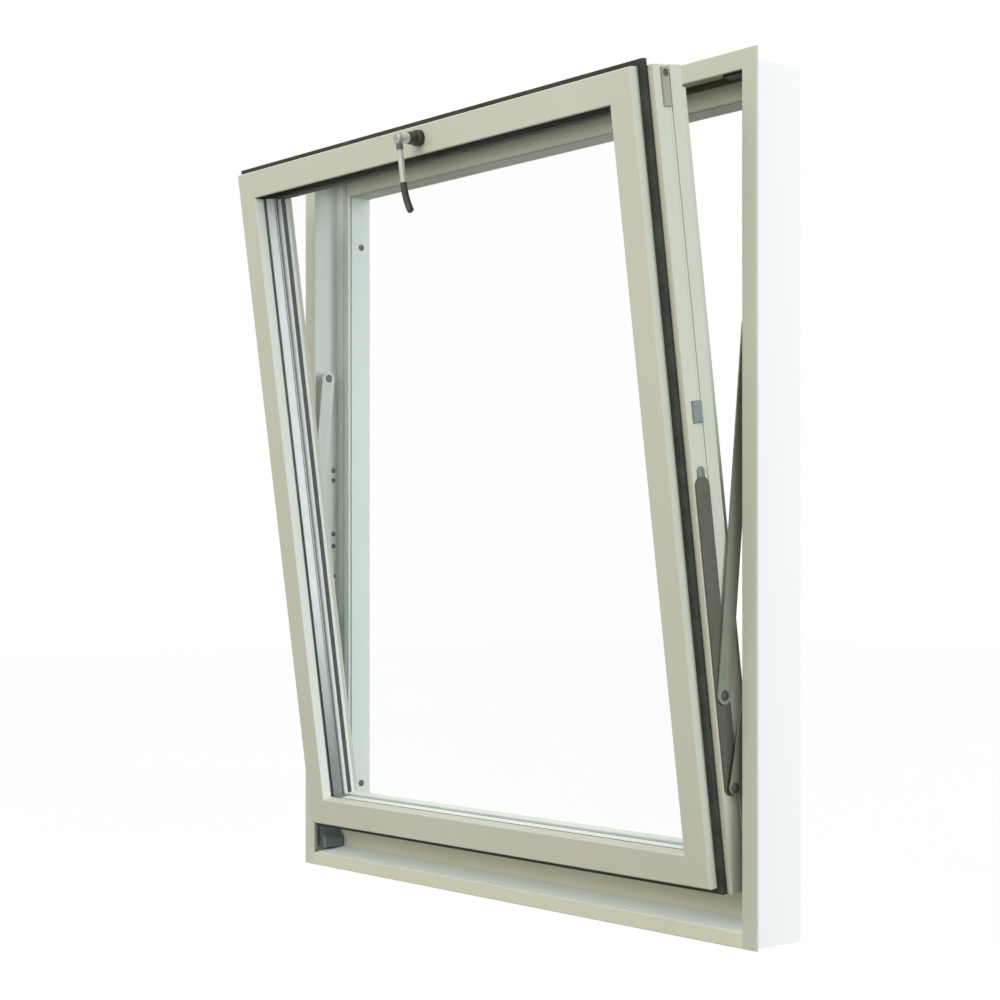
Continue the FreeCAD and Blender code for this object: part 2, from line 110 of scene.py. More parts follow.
class NodeGraph:
    """Small helper that adds and links the shader nodes of one material."""

    def __init__(self, name: str) -> None:
        """Starts an empty material with a principled shader."""
        self.material = bpy.data.materials.new(name)
        self.material.use_nodes = True
        self.tree = self.material.node_tree
        self.tree.nodes.clear()
        self.output = self.add("ShaderNodeOutputMaterial")
        self.shader = self.add("ShaderNodeBsdfPrincipled")
        self.link(self.shader.outputs["BSDF"], self.output.inputs["Surface"])
        self.place = self.add("ShaderNodeTexCoord").outputs["Object"]

    def add(self, kind: str, **values: object) -> bpy.types.Node:
        """Adds a node of Blender's kind and sets its attributes."""
        node = self.tree.nodes.new(kind)
        for key, value in values.items():
            setattr(node, key, value)
        return node

    def link(self, source: Socket, target: Socket) -> None:
        """Joins an output to an input."""
        self.tree.links.new(source, target)

    def stretched(self, scale: Triple) -> Socket:
        """Object coordinates scaled by axis, for grain that runs one way."""
        mapping = self.add("ShaderNodeMapping")
        mapping.inputs["Scale"].default_value = scale
        self.link(self.place, mapping.inputs["Vector"])
        return mapping.outputs["Vector"]

    def noise(self, scale: float, detail: float, vector: Socket | None = None) -> Socket:
        """Noise factor.

        Args:
            scale: Features per metre.
            detail: Octaves.
            vector: Coordinates, object space if left out.

        Returns:
            The factor output.
        """
        node = self.add("ShaderNodeTexNoise")
        node.inputs["Scale"].default_value = scale
        node.inputs["Detail"].default_value = detail
        self.link(vector or self.place, node.inputs["Vector"])
        return node.outputs["Fac"]

    def spread(self, source: Socket, low: float, high: float, start: float = 0.3,
               stop: float = 0.7) -> Socket:
        """Maps a factor to a range.

        Args:
            source: Factor to map.
            low: Result at start.
            high: Result at stop.
            start: Factor that gives low.
            stop: Factor that gives high.

        Returns:
            The mapped value.
        """
        node = self.add("ShaderNodeMapRange")
        for key, value in (("From Min", start), ("From Max", stop), ("To Min", low), ("To Max", high)):
            node.inputs[key].default_value = value
        self.link(source, node.inputs["Value"])
        return node.outputs["Result"]

    def mix(self, factor: Socket, first: Colour | Socket, second: Colour | Socket) -> Socket:
        """Blends two colours by a factor.

        Args:
            factor: 0 gives first and 1 gives second.
            first: Colour or socket.
            second: Colour or socket.

        Returns:
            The blended colour.
        """
        node = self.add("ShaderNodeMix", data_type="RGBA")
        self.link(factor, node.inputs[0])
        for socket, value in ((node.inputs[6], first), (node.inputs[7], second)):
            if isinstance(value, Socket):
                self.link(value, socket)
            else:
                socket.default_value = (*value, 1.0)
        return node.outputs[2]

    def math(self, operation: str, first: Socket, second: Socket | float = 0.0) -> Socket:
        """Arithmetic on one or two values, by Blender's name of the operation."""
        node = self.add("ShaderNodeMath", operation=operation)
        self.link(first, node.inputs[0])
        if isinstance(second, Socket):
            self.link(second, node.inputs[1])
        else:
            node.inputs[1].default_value = second
        return node.outputs[0]

    def axis(self, letter: str) -> Socket:
        """One object coordinate, by its letter."""
        axes = self.add("ShaderNodeSeparateXYZ")
        self.link(self.place, axes.inputs[0])
        return axes.outputs[letter]

    def bump(self, height: Socket, strength: float, distance: float) -> None:
        """Raises the surface by a factor, with the distance in metres at a factor of 1."""
        node = self.add("ShaderNodeBump")
        node.inputs["Strength"].default_value = strength
        node.inputs["Distance"].default_value = distance
        self.link(height, node.inputs["Height"])
        self.link(node.outputs["Normal"], self.shader.inputs["Normal"])

    def feed(self, socket: str, source: Socket) -> None:
        """Links a value to one of the shader's inputs."""
        self.link(source, self.shader.inputs[socket])

    def fix(self, **values: object) -> None:
        """Sets constants on the shader's own sockets, with spaces as underscores."""
        for key, value in values.items():
            self.shader.inputs[key.replace("_", " ")].default_value = value


@dataclass(frozen=True)
class Finish:
    """A look that becomes one procedural material."""

    name: str

    def paint(self, graph: NodeGraph) -> None:
        """Adds the nodes of the look to a new graph."""
        raise NotImplementedError

    @functools.cache
    def material(self) -> bpy.types.Material:
        """The material, built the first time that it is asked for."""
        graph = NodeGraph(self.name)
        self.paint(graph)
        return graph.material


@dataclass(frozen=True)
class PowderCoat(Finish):
    """Satin powder coat: mottle and orange peel, with a paler inside of painted light and primer on wall
    sides where given.
    """

    colour: Colour
    shade: Colour
    roughness: float = 0.55
    specular: float = 0.18
    mottle_scale: float = 4.0
    mottle_share: float = 0.55
    speck_scale: float = 260.0
    speck_share: float = 0.12
    peel_scale: float = 900.0
    peel_strength: float = 0.12
    peel_height: float = 0.0003
    primer: Colour | None = None
    primer_from: Triple = (0.5172, 0.0004, 1.1798)
    # Paler colour of painted light for faces between two depths behind the front face, with its mottle share
    # and the depths.
    inner: Colour | None = None
    painted_light_share: float = 0.2
    painted_light_depth: Pair = (0.0005, 0.0966)

    def paint(self, graph: NodeGraph) -> None:
        """Adds the coat's nodes."""
        mottle = graph.noise(self.mottle_scale, 4.0)
        speck = graph.noise(self.speck_scale, 2.0)
        tone = graph.mix(graph.spread(mottle, 0.0, self.mottle_share), self.colour, self.shade)
        tone = graph.mix(graph.spread(speck, 0.0, self.speck_share, 0.45, 0.75), tone, self.shade)
        # Painted light: faces between the two depths take the paler colour.
        if self.inner:
            front, back = self.painted_light_depth
            deep = graph.axis("Y")
            inside = graph.math("GREATER_THAN", deep, front)
            inside = graph.math("MULTIPLY", inside, graph.math("LESS_THAN", deep, back))
            pale = graph.mix(graph.spread(mottle, 0.0, self.painted_light_share), self.inner, self.shade)
            tone = graph.mix(inside, tone, pale)
        if self.primer:
            tone = graph.mix(self.hidden(graph), tone, self.primer)
        graph.feed("Base Color", tone)
        graph.feed("Roughness", graph.spread(mottle, self.roughness - 0.05, self.roughness + 0.07))
        graph.bump(graph.noise(self.peel_scale, 2.0), self.peel_strength, self.peel_height)
        graph.fix(Specular_IOR_Level=self.specular)

    def hidden(self, graph: NodeGraph) -> Socket:
        """Factor that is 1 on the outer sides that a wall hides."""
        across, deep, up = self.primer_from
        beyond = graph.math("GREATER_THAN", graph.math("ABSOLUTE", graph.axis("X")), across)
        above = graph.math("GREATER_THAN", graph.axis("Z"), up)
        behind = graph.math("GREATER_THAN", graph.axis("Y"), deep)
        return graph.math("MULTIPLY", graph.math("MAXIMUM", beyond, above), behind)


@dataclass(frozen=True)
class SealRubber(Finish):
    """Dull rubber with a dusty bloom."""

    colour: Colour
    bloom: Colour
    specular: float = 0.25
    dust_scale: float = 35.0
    dust_share: float = 0.7
    grain_scale: float = 600.0
    grain_strength: float = 0.2
    grain_height: float = 0.0004

    def paint(self, graph: NodeGraph) -> None:
        """Adds the rubber's nodes."""
        dust = graph.noise(self.dust_scale, 5.0)
        dusty = graph.spread(dust, 0.0, self.dust_share, 0.4, 0.75)
        graph.feed("Base Color", graph.mix(dusty, self.colour, self.bloom))
        graph.feed("Roughness", graph.spread(dust, 0.6, 0.8))
        graph.bump(graph.noise(self.grain_scale, 2.0), self.grain_strength, self.grain_height)
        graph.fix(Specular_IOR_Level=self.specular)


@dataclass(frozen=True)
class DullSteel(Finish):
    """Drawn or plated metal with grain along the piece, and a painted dark reflection low on both sides if
    given.
    """

    colour: Colour
    shade: Colour
    metallic: float = 0.7
    roughness: float = 0.4
    grain: Triple = (900.0, 900.0, 12.0)
    grain_share: float = 0.6
    grain_strength: float = 0.15
    grain_height: float = 0.0002
    stain_scale: float = 28.0
    stain_share: float = 0.5
    # Painted dark reflection: its colour, then the half width beyond which it lies and the levels over which
    # it fades out upwards.
    painted_reflection: Colour | None = None
    painted_reflection_range: Triple = (0.405, 0.17, 0.46)

    def paint(self, graph: NodeGraph) -> None:
        """Adds the metal's nodes."""
        grain = graph.noise(1.0, 3.0, graph.stretched(self.grain))
        stain = graph.noise(self.stain_scale, 4.0)
        tone = graph.mix(graph.spread(grain, 0.0, self.grain_share), self.colour, self.shade)
        tone = graph.mix(graph.spread(stain, 0.0, self.stain_share, 0.45, 0.8), tone, self.shade)
        # Painted dark reflection: darker on the outer runs, strongest low down and fading out upwards.
        if self.painted_reflection:
            across, low, high = self.painted_reflection_range
            side = graph.math("GREATER_THAN", graph.math("ABSOLUTE", graph.axis("X")), across)
            down = graph.spread(graph.axis("Z"), 1.0, 0.0, low, high)
            tone = graph.mix(graph.math("MULTIPLY", side, down), tone, self.painted_reflection)
        graph.feed("Base Color", tone)
        graph.feed("Roughness", graph.spread(grain, self.roughness - 0.08, self.roughness + 0.1))
        graph.bump(grain, self.grain_strength, self.grain_height)
        graph.fix(Metallic=self.metallic)


@dataclass(frozen=True)
class MouldedPlastic(Finish):
    """Moulded plastic with a fine spark grain."""

    colour: Colour
    shade: Colour
    roughness: float = 0.5
    grain_scale: float = 1400.0
    grain_strength: float = 0.2
    grain_height: float = 0.0002
    tone_scale: float = 40.0
    tone_share: float = 0.8

    def paint(self, graph: NodeGraph) -> None:
        """Adds the plastic's nodes."""
        grain = graph.noise(self.grain_scale, 2.0)
        tone = graph.noise(self.tone_scale, 3.0)
        graph.feed("Base Color", graph.mix(graph.spread(tone, 0.0, self.tone_share), self.colour, self.shade))
        graph.feed("Roughness", graph.spread(tone, self.roughness - 0.06, self.roughness + 0.08))
        graph.bump(grain, self.grain_strength, self.grain_height)


@dataclass(frozen=True)
class ClearGlass(Finish):
    """Clear float glass with faint wipe marks."""

    colour: Colour
    clear: float = 0.012
    wiped: float = 0.03
    wipe_scale: float = 3.0
    wipe_stretch: Triple = (1.0, 1.0, 0.35)
    ior: float = 1.52

    def paint(self, graph: NodeGraph) -> None:
        """Adds the glass's nodes."""
        wipe = graph.noise(self.wipe_scale, 4.0, graph.stretched(self.wipe_stretch))
        graph.feed("Alpha", graph.spread(wipe, self.clear, self.wiped))
        graph.feed("Roughness", graph.spread(wipe, 0.02, 0.08))
        graph.fix(Base_Color=(*self.colour, 1.0), IOR=self.ior)


PRIMER = srgb(245, 238, 235)
FRAME_COAT = PowderCoat("frame_powder_coat", srgb(197, 198, 182), srgb(188, 188, 170), primer=PRIMER)
SASH_COAT = PowderCoat("sash_powder_coat", srgb(204, 202, 186), srgb(196, 194, 176))
SEAL = SealRubber("weather_seal_rubber", srgb(44, 48, 43), srgb(70, 76, 68))
GLASS = ClearGlass("float_glass", srgb(240, 246, 244))
# The spacer takes a painted dark reflection low on its side runs.
SPACER = DullSteel("spacer_aluminium", srgb(236, 239, 237), srgb(214, 219, 217), 0.05, 0.5,
                   painted_reflection=srgb(120, 127, 121))
STAY_STEEL = DullSteel("stay_steel", srgb(128, 134, 116), srgb(104, 109, 94), 0.1, 0.6)
LOCK_ZINC = DullSteel("lock_zinc", srgb(128, 138, 130), srgb(106, 114, 106), 0.15, 0.55)
DARK_PLASTIC = MouldedPlastic("dark_plastic", srgb(56, 57, 47), srgb(42, 43, 35))
LEVER = DullSteel("lever_satin_silver", srgb(200, 198, 190), srgb(176, 174, 166), 0.6, 0.38,
                  (60.0, 60.0, 60.0))
# Near-white coat of painted light for the sheet on the sill floor.
PAINTED_LIGHT_SHEET_COAT = PowderCoat("sill_painted_light_sheet_coat", srgb(243, 248, 247), srgb(236, 241, 240), 0.45)
BAR_STEEL = DullSteel("sash_bar_steel", srgb(90, 87, 73), srgb(72, 69, 57), 0.1, 0.65)
PLATE_STEEL = DullSteel("corner_plate_steel", srgb(156, 154, 134), srgb(130, 128, 110), 0.15, 0.5)
BLOCK_STEEL = DullSteel("end_block_steel", srgb(112, 122, 120), srgb(90, 98, 96), 0.2, 0.5)
GREY_SEAL = SealRubber("stop_seal_rubber", srgb(172, 180, 164), srgb(188, 196, 180), 0.1)
PALE_SEAL = SealRubber("glazing_silicone", srgb(206, 211, 207), srgb(188, 194, 190))
BUTYL = SealRubber("grey_butyl", srgb(142, 149, 144), srgb(158, 165, 160), 0.1)
LINE_SEAL = SealRubber("inner_seal_rubber", srgb(88, 95, 90), srgb(104, 111, 105), 0.1)
# Near-black rubber laid as painted shade under the top rail.
PAINTED_SHADE_RUBBER = SealRubber("top_painted_shade_rubber", srgb(30, 31, 22), srgb(44, 46, 34), 0.03)
SILL_COAT = PowderCoat("sill_powder_coat", srgb(217, 214, 193), srgb(208, 205, 181), primer=PRIMER)
HUB_PLASTIC = MouldedPlastic("hub_grey_plastic", srgb(172, 174, 165), srgb(152, 154, 145))
NECK_PLASTIC = MouldedPlastic("neck_grey_plastic", srgb(104, 101, 96), srgb(86, 83, 79))
# Paler copy of the sash coat: painted light on the glazing beads and the lip sheets, which stand in light.
PAINTED_LIGHT_BEAD_COAT = PowderCoat("bead_painted_light_coat", srgb(232, 235, 228), srgb(224, 227, 219))
# Lighter copy of the frame coat for the left jamb, painted light, with a still paler inside of painted light.
PAINTED_LIGHT_JAMB_COAT = PowderCoat("left_jamb_painted_light_coat", srgb(204, 205, 190), srgb(195, 196, 179), primer=PRIMER,
                       inner=srgb(218, 224, 215))
HEAD_SEAL = SealRubber("head_seal_rubber", srgb(88, 84, 66), srgb(108, 104, 84), 0.05)
# Lighter copy of the stay steel: painted light on the left long arm, which stands in light.
LIT_STEEL = DullSteel("left_arm_painted_light_steel", srgb(200, 208, 194), srgb(180, 188, 174), 0.1, 0.6)
TRACK_COAT = PowderCoat("track_zinc_coat", srgb(208, 213, 200), srgb(194, 199, 186), 0.45)
BRACKET_STEEL = DullSteel("bracket_dark_steel", srgb(134, 148, 150), srgb(82, 92, 90), 0.3, 0.45)
RIVET_STEEL = DullSteel("rivet_dark_steel", srgb(74, 76, 66), srgb(50, 52, 44), 0.5, 0.4)


def dress(finish: Finish, nodes: Sequence[str]) -> None:
    """Puts a finish on nodes of the window, by their names."""
    for name in nodes:
        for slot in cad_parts[name].material_slots:
            slot.material = finish.material()
    LOG.info("%s on %d nodes", finish.name, len(nodes))


class PieceMesh:
    """Collects the faces of one new piece and turns them into an object."""

    sharp: float = math.radians(32.0)

    def __init__(self, name: str) -> None:
        """Starts an empty piece."""
        self.name = name
        self.bm = bmesh.new()

    def loft(self, rows: Sequence[Sequence[Vector]]) -> None:
        """Skins rings of points, all of one count, and closes both ends."""
        rings = [[self.bm.verts.new(point) for point in row] for row in rows]
        count = len(rings[0])
        for low, high in zip(rings, rings[1:]):
            for i in range(count):
                j = (i + 1) % count
                self.bm.faces.new((low[i], low[j], high[j], high[i]))
        self.bm.faces.new(rings[0][::-1])
        self.bm.faces.new(rings[-1])

    def turned(self, profile: Sequence[Pair], place: Matrix, steps: int = 28) -> None:
        """Turns a profile about the local Z axis.

        Args:
            profile: Radius and height pairs, from the foot up.
            place: Where the local axes lie.
            steps: Facets round the axis.
        """
        turns = [2.0 * math.pi * i / steps for i in range(steps)]
        self.loft([[place @ Vector((radius * math.cos(a), radius * math.sin(a), height)) for a in turns]
                   for radius, height in profile])

    def prism(self, outline: Sequence[Pair], low: float, high: float, place: Matrix,
              edge: float = 0.0) -> None:
        """Extrudes an outline along the local Z axis.

        Args:
            outline: Local X and Y pairs.
            low: Local Z of the foot.
            high: Local Z of the top.
            place: Where the local axes lie.
            edge: Width of the rounded edges.
        """
        foot = [self.bm.verts.new(place @ Vector((x, y, low))) for x, y in outline]
        top = [self.bm.verts.new(place @ Vector((x, y, high))) for x, y in outline]
        faces = [self.bm.faces.new(foot[::-1]), self.bm.faces.new(top)]
        count = len(outline)
        for i in range(count):
            j = (i + 1) % count
            faces.append(self.bm.faces.new((foot[i], foot[j], top[j], top[i])))
        if edge > 0.0:
            edges = list(dict.fromkeys(e for f in faces for e in f.edges))
            bmesh.ops.bevel(self.bm, geom=edges, offset=edge, segments=2, profile=0.6, affect="EDGES",
                            clamp_overlap=True)

    def ring(self, profile: Sequence[Pair], half: float, low: float, high: float, place: Matrix) -> None:
        """Sweeps a section round a rectangle with mitred corners.

        Args:
            profile: Distance inside the rectangle and depth pairs, a closed section.
            half: Half width of the rectangle.
            low: Lower edge of the rectangle.
            high: Upper edge of the rectangle.
            place: Where the local axes lie, X across, Y deep and Z up.
        """
        corners = ((-1.0, low, 1.0), (1.0, low, 1.0), (1.0, high, -1.0), (-1.0, high, -1.0))
        rings = []
        for side, level, inward in corners:
            points = [place @ Vector((side * (half - u), d, level + inward * u)) for u, d in profile]
            rings.append([self.bm.verts.new(point) for point in points])
        count = len(profile)
        for here, there in zip(rings, rings[1:] + rings[:1]):
            for i in range(count):
                j = (i + 1) % count
                self.bm.faces.new((here[i], there[i], there[j], here[j]))

    def finish(self, body: Body, slot: Slot, look: Finish) -> None:
        """Makes the object, dresses it and lets it ride.

        Args:
            body: Body that carries it.
            slot: Not used.
            look: Its finish.
        """
        bmesh.ops.recalc_face_normals(self.bm, faces=self.bm.faces)
        for face in self.bm.faces:
            face.smooth = True
        for edge in self.bm.edges:
            edge.smooth = len(edge.link_faces) == 2 and edge.calc_face_angle(0.0) < self.sharp
        mesh = bpy.data.meshes.new(self.name)
        self.bm.to_mesh(mesh)
        self.bm.free()
        mesh.materials.append(look.material())
        piece = bpy.data.objects.new(self.name, mesh)
        bpy.context.scene.collection.objects.link(piece)
        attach(piece, body.value)
        LOG.info("%s, %d faces, on %s", self.name, len(mesh.polygons), body.value)


def laid(first: Triple, second: Triple, along: Triple, at: Triple = (0.0, 0.0, 0.0)) -> Matrix:
    """Axes for a prism.

    Args:
        first: Way that the section's X runs.
        second: Way that the section's Y runs.
        along: Way that the section is extruded.
        at: Place of the section's zero.

    Returns:
        The matrix.
    """
    return Matrix((*zip(first, second, along, at), (0.0, 0.0, 0.0, 1.0)))


def upright(x: float, towards: float) -> Matrix:
    """Axes for an upright strip: section X runs back and section Y to +X, or to -X where towards is -1."""
    return laid(BACK, (towards, 0.0, 0.0), UP, (x, 0.0, 0.0))


def crowned(start: float, stop: float, foot: float, shoulder: float, top: float, inset: float) -> list[Pair]:
    """Section with a flat foot and two bevelled top corners.

    Args:
        start: First side.
        stop: Second side.
        foot: Level of the foot.
        shoulder: Level where the bevels start.
        top: Level of the top.
        inset: Width of each bevel.

    Returns:
        The section's points.
    """
    return [(start, foot), (stop, foot), (stop, shoulder), (stop - inset, top), (start + inset, top),
            (start, shoulder)]


def facing(x: float, y: float, z: float, towards: float) -> Matrix:
    """Axes at a point whose local Z runs to +X, or to -X where towards is -1."""
    return Matrix.Translation((x, y, z)) @ Matrix.Rotation(towards * math.pi / 2.0, 4, "Y")


@dataclass
class SashPose:
    """Open place of the sash: X across, Y back from the face and Z up the face."""

    tilt: float = math.radians(7.77)
    face_y: float = -0.0306
    face_z: float = 0.0705
    width: float = 0.944
    height: float = 1.0885
    side: float = 0.490

    def matrix(self) -> Matrix:
        """Sash axes in the window's frame."""
        return Matrix.Translation((0.0, self.face_y, self.face_z)) @ Matrix.Rotation(self.tilt, 4, "X")

    def on_side(self, side: float, x: float, up: float, back: float) -> Matrix:
        """Axes on a stile's side, local Z pointing away from the stile.

        Args:
            side: 1 for the right stile and -1 for the left.
            x: Distance from the middle.
            up: Height up the face.
            back: Depth behind the face.

        Returns:
            The matrix.
        """
        return self.matrix() @ facing(side * x, back, up, side)


@dataclass
class FrameHardware:
    """Small pieces on the frame: a near-white sheet of painted light on the sill floor, brackets, track
    screws, stop strips, rivets and reveal caps.
    """

    wall: float = 0.515
    track_face: float = 0.512
    stop_face: float = 0.480
    lip: float = 0.503
    floor_front: float = 0.0135
    floor_back: float = 0.0205
    rebate: float = 0.052
    # Near-white sheet of painted light on the sill floor: front edge, gap at the upstand, lift, thickness and
    # upturn.
    painted_light_sheet_front: float = 0.0008
    painted_light_sheet_gap: float = 0.0006
    painted_light_sheet_lift: float = 0.0001
    painted_light_sheet_thickness: float = 0.0007
    painted_light_sheet_turn_up: float = 0.0012
    bracket_reach: float = 0.024
    bracket_front: float = 0.012
    bracket_back: float = 0.049
    bracket_top: float = 0.134
    bracket_foot: float = 0.043
    bracket_wall: float = 0.012
    bracket_lift: float = 0.0012
    bracket_gap: float = 0.0002
    bracket_edge: float = 0.0008
    bracket_cuts: Pair = (0.006, 0.004)
    bracket_levels: Pair = (0.075, 0.112)
    bracket_head: Pair = (0.0045, 0.0016)
    screw_levels: tuple[float, ...] = (0.6705, 0.6535, 0.5605, 0.5395, 0.4875, 0.4465)
    screw_y: float = 0.0425
    screw_head: Pair = (0.0042, 0.0018)
    groove: Triple = (0.0562, 0.0588, 0.0016)
    groove_depth: float = 0.0019
    groove_span: Pair = (0.0745, 1.1415)
    cap_levels: Pair = (1.057, 0.129)
    cap_y: float = 0.079
    cap_head: Pair = (0.0055, 0.0012)
    long_anchor: Pair = (0.020, 0.8275)
    short_anchor: Pair = (0.0338542, 0.4185)
    long_arm_inner: float = 0.493
    short_arm_inner: float = 0.496
    long_head: Pair = (0.0065, 0.0014)
    short_head: Pair = (0.0052, 0.0008)

    def painted_light_sheet(self) -> None:
        """Near-white sheet on the sill floor with a small upturn at the upstand, its paleness painted light
        for the lit floor.
        """
        piece = PieceMesh("sill_painted_light_sheet")
        front, back = self.painted_light_sheet_front, self.rebate - self.painted_light_sheet_gap
        rise = self.floor_back - self.floor_front
        start = self.floor_front + rise * front / self.rebate + self.painted_light_sheet_lift
        stop = self.floor_front + rise * back / self.rebate + self.painted_light_sheet_lift
        t, top = self.painted_light_sheet_thickness, stop + self.painted_light_sheet_turn_up
        section = [(front, start), (back, stop), (back, top), (back - t, top),
                   (back - 2.0 * t, stop + 2.0 * t), (back - 4.0 * t, stop + t), (front, start + t)]
        piece.prism(section, -self.lip, self.lip, laid(BACK, UP, RIGHT))
        piece.finish(Body.FRAME, Slot.FRAME_COAT, PAINTED_LIGHT_SHEET_COAT)

    def bracket(self, side: float, name: str) -> None:
        """Dark corner bracket: a tall plate on the jamb wall with a foot on the sill.

        Args:
            side: 1 for the right jamb and -1 for the left.
            name: Piece name.
        """
        piece = PieceMesh(name)
        low, reach, wall = self.floor_back + self.bracket_lift, self.bracket_reach, self.bracket_wall
        foot, top = self.bracket_foot, self.bracket_top
        wide, narrow = self.bracket_cuts
        outline = [(0.0, low), (reach, low), (reach, foot - wide), (reach - wide, foot),
                   (wall + narrow, foot), (wall, foot + narrow), (wall, top - wide), (wall - narrow, top),
                   (0.0, top)]
        axes = laid((-side, 0.0, 0.0), UP, BACK, (side * (self.wall - self.bracket_gap), 0.0, 0.0))
        piece.prism(outline, self.bracket_front, self.bracket_back, axes, self.bracket_edge)
        middle = (self.bracket_front + self.bracket_back) / 2.0
        for up in self.bracket_levels:
            place = facing(side * (self.wall - wall), middle, up, -side)
            piece.turned(Head.PAN.profile(*self.bracket_head), place)
        piece.finish(Body.FRAME, Slot.STAY, BRACKET_STEEL)

    def screws(self, side: float, name: str) -> None:
        """Screw heads down the stay track."""
        piece = PieceMesh(name)
        for level in self.screw_levels:
            place = facing(side * self.track_face, self.screw_y, level, -side)
            piece.turned(Head.PAN.profile(*self.screw_head), place)
        piece.finish(Body.FRAME, Slot.STAY, RIVET_STEEL)

    def strip(self, side: float, name: str) -> None:
        """Grey rubber strip in the groove of the jamb's stop."""
        piece = PieceMesh(name)
        front, back, thick = self.groove
        middle, shoulder = (front + back) / 2.0, 0.6 * thick
        section = [(front, 0.0), (back, 0.0), (back, shoulder), (middle, thick), (front, shoulder)]
        piece.prism(section, *self.groove_span, upright(side * (self.stop_face + self.groove_depth), -side))
        piece.finish(Body.FRAME, Slot.SEAL, BUTYL)

    def rivets(self, side: float, name: str) -> None:
        """Rivet heads on the stays' upper pivots."""
        piece = PieceMesh(name)
        for head, inner, anchor in ((self.long_head, self.long_arm_inner, self.long_anchor),
                                    (self.short_head, self.short_arm_inner, self.short_anchor)):
            piece.turned(Head.ROUND.profile(*head), facing(side * inner, *anchor, -side))
        piece.finish(Body.FRAME, Slot.STAY, RIVET_STEEL)

    def caps(self, side: float, name: str) -> None:
        """Screw caps in the reveal behind the stop."""
        piece = PieceMesh(name)
        for level in self.cap_levels:
            place = facing(side * self.stop_face, self.cap_y, level, -side)
            piece.turned(Head.ROUND.profile(*self.cap_head), place)
        piece.finish(Body.FRAME, Slot.PLASTIC, DARK_PLASTIC)

    def build(self) -> None:
        """Makes every piece on both sides."""
        self.painted_light_sheet()
        for side, word in SIDES:
            self.bracket(side, word + "_corner_bracket")
            self.screws(side, word + "_track_screws")
            self.strip(side, word + "_stop_strip")
            self.rivets(side, word + "_anchor_rivets")
            self.caps(side, word + "_reveal_caps")


